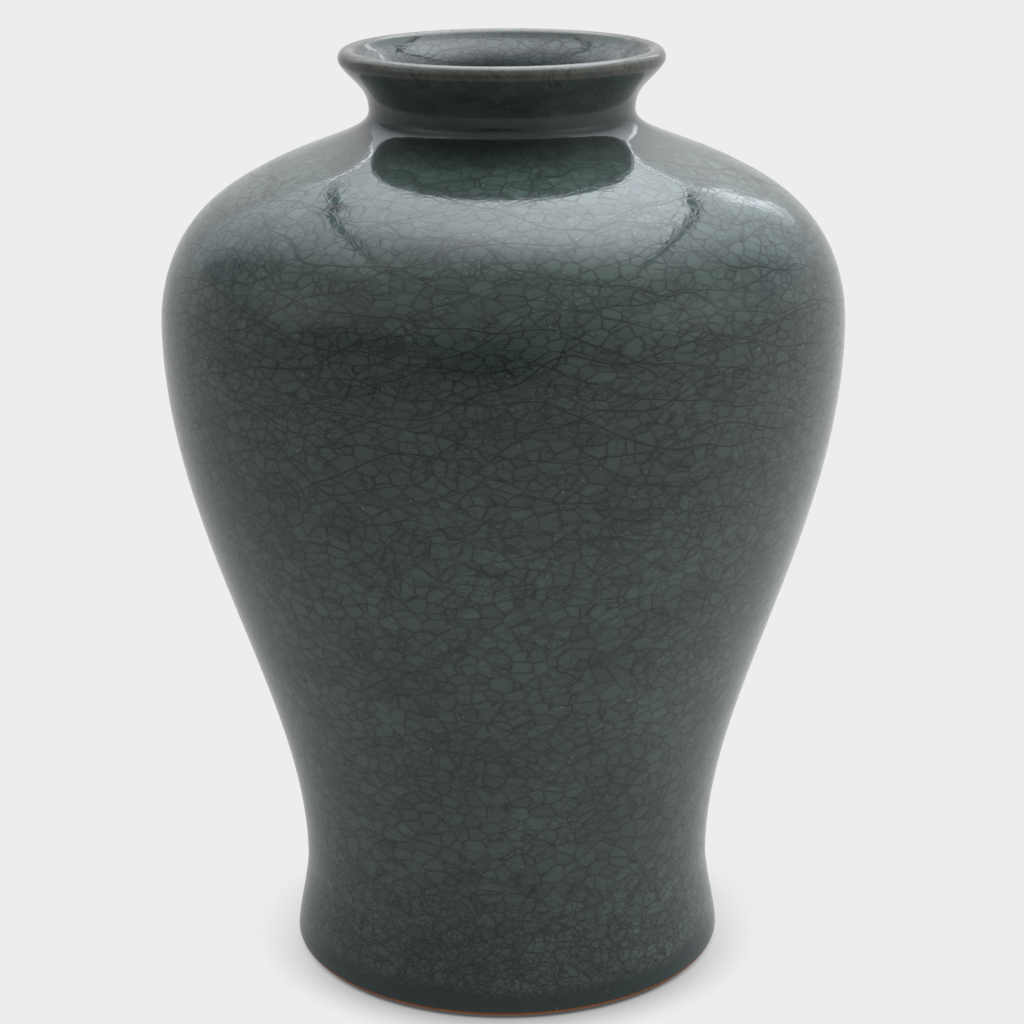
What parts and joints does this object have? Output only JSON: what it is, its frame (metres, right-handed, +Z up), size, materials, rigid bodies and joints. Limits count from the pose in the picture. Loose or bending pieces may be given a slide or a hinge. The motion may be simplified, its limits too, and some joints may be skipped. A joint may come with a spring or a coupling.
{
  "type": "vase",
  "caption": "Crackle-glazed celadon vase with a wide round shoulder, waisted foot and short flared neck; stands on a foot ring and holds flowers or branches.",
  "frame": {"origin": "on the ground at the centre of the foot ring", "axes": "+Z up along the axis that every piece is turned about, towards the mouth; -Y is the side that faces the viewer"},
  "size_m": [0.2552, 0.2552, 0.35],
  "materials": {
    "foot_clay": "bare iron-brown fired clay, matt",
    "clay_body": "bare grey-buff stoneware, matt",
    "luting_slip": "fired clay slip, matt",
    "crackle_glaze": "glossy grey-green celadon with a fine dark crackle",
    "thin_lip_glaze": "glossy olive-grey where the glaze runs thin over the lip",
    "interior_glaze": "glossy grey-green crackle inside",
    "recess_glaze": "glossy grey-green under the foot"
  },
  "bodies": {
    "root": {"foot_ring": "foot_clay", "base_disc": "clay_body", "lower_section": "clay_body", "belly_section": "clay_body", "shoulder_section": "clay_body", "neck_and_lip": "clay_body", "foot_seam_slip": "luting_slip", "waist_seam_slip": "luting_slip", "belly_seam_slip": "luting_slip", "neck_seam_slip": "luting_slip", "body_glaze": "crackle_glaze", "lip_glaze": "thin_lip_glaze", "interior_glaze": "interior_glaze", "recess_glaze": "recess_glaze"}
  },
  "joints": []
}
